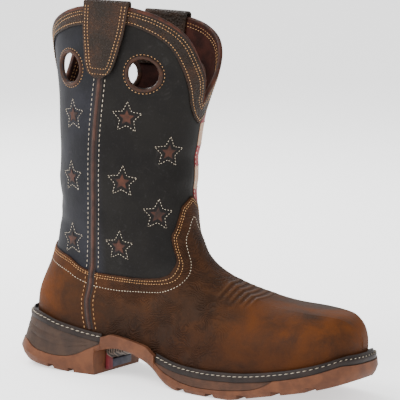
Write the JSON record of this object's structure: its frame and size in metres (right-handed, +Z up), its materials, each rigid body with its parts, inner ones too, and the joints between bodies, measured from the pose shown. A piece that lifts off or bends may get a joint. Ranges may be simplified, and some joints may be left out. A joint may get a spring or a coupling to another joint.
{
  "type": "western work boot",
  "caption": "Pull-on western work boot, right foot: tall leather shaft with dipped collar, pull holes and straps on a welted gum rubber sole.",
  "frame": {"origin": "on the floor, in the middle of the outsole's length and width", "axes": "+X towards the toe, +Y towards the medial (inner) side of this right boot, +Z up"},
  "size_m": [0.308, 0.114, 0.2976],
  "materials": {
    "gum_rubber": "matte moulded gum",
    "dark_rubber": "matte",
    "welt_rubber": "satin",
    "arch_nylon": "matte ribbed",
    "red_rubber": "matte",
    "navy_rubber": "matte",
    "insole_board": "napped",
    "oiled_leather": "oiled, distressed",
    "collar_leather": "tumbled grain",
    "binding_leather": "smooth"
  },
  "bodies": {
    "root": {"outsole": "gum_rubber", "midsole_heel": "dark_rubber", "midsole_forefoot": "dark_rubber", "welt_heel": "welt_rubber", "welt_forefoot": "welt_rubber", "arch_plate": "arch_nylon", "heel_insert_red": "red_rubber", "heel_insert_navy": "navy_rubber", "insole": "insole_board", "upper": "oiled_leather", "hole_binding_front_lateral": "binding_leather", "hole_binding_front_medial": "binding_leather", "hole_binding_back_lateral": "binding_leather", "hole_binding_back_medial": "binding_leather", "side_seam_lateral": "binding_leather", "side_seam_medial": "binding_leather", "pull_strap_lateral": "collar_leather", "pull_strap_medial": "collar_leather"}
  },
  "joints": []
}
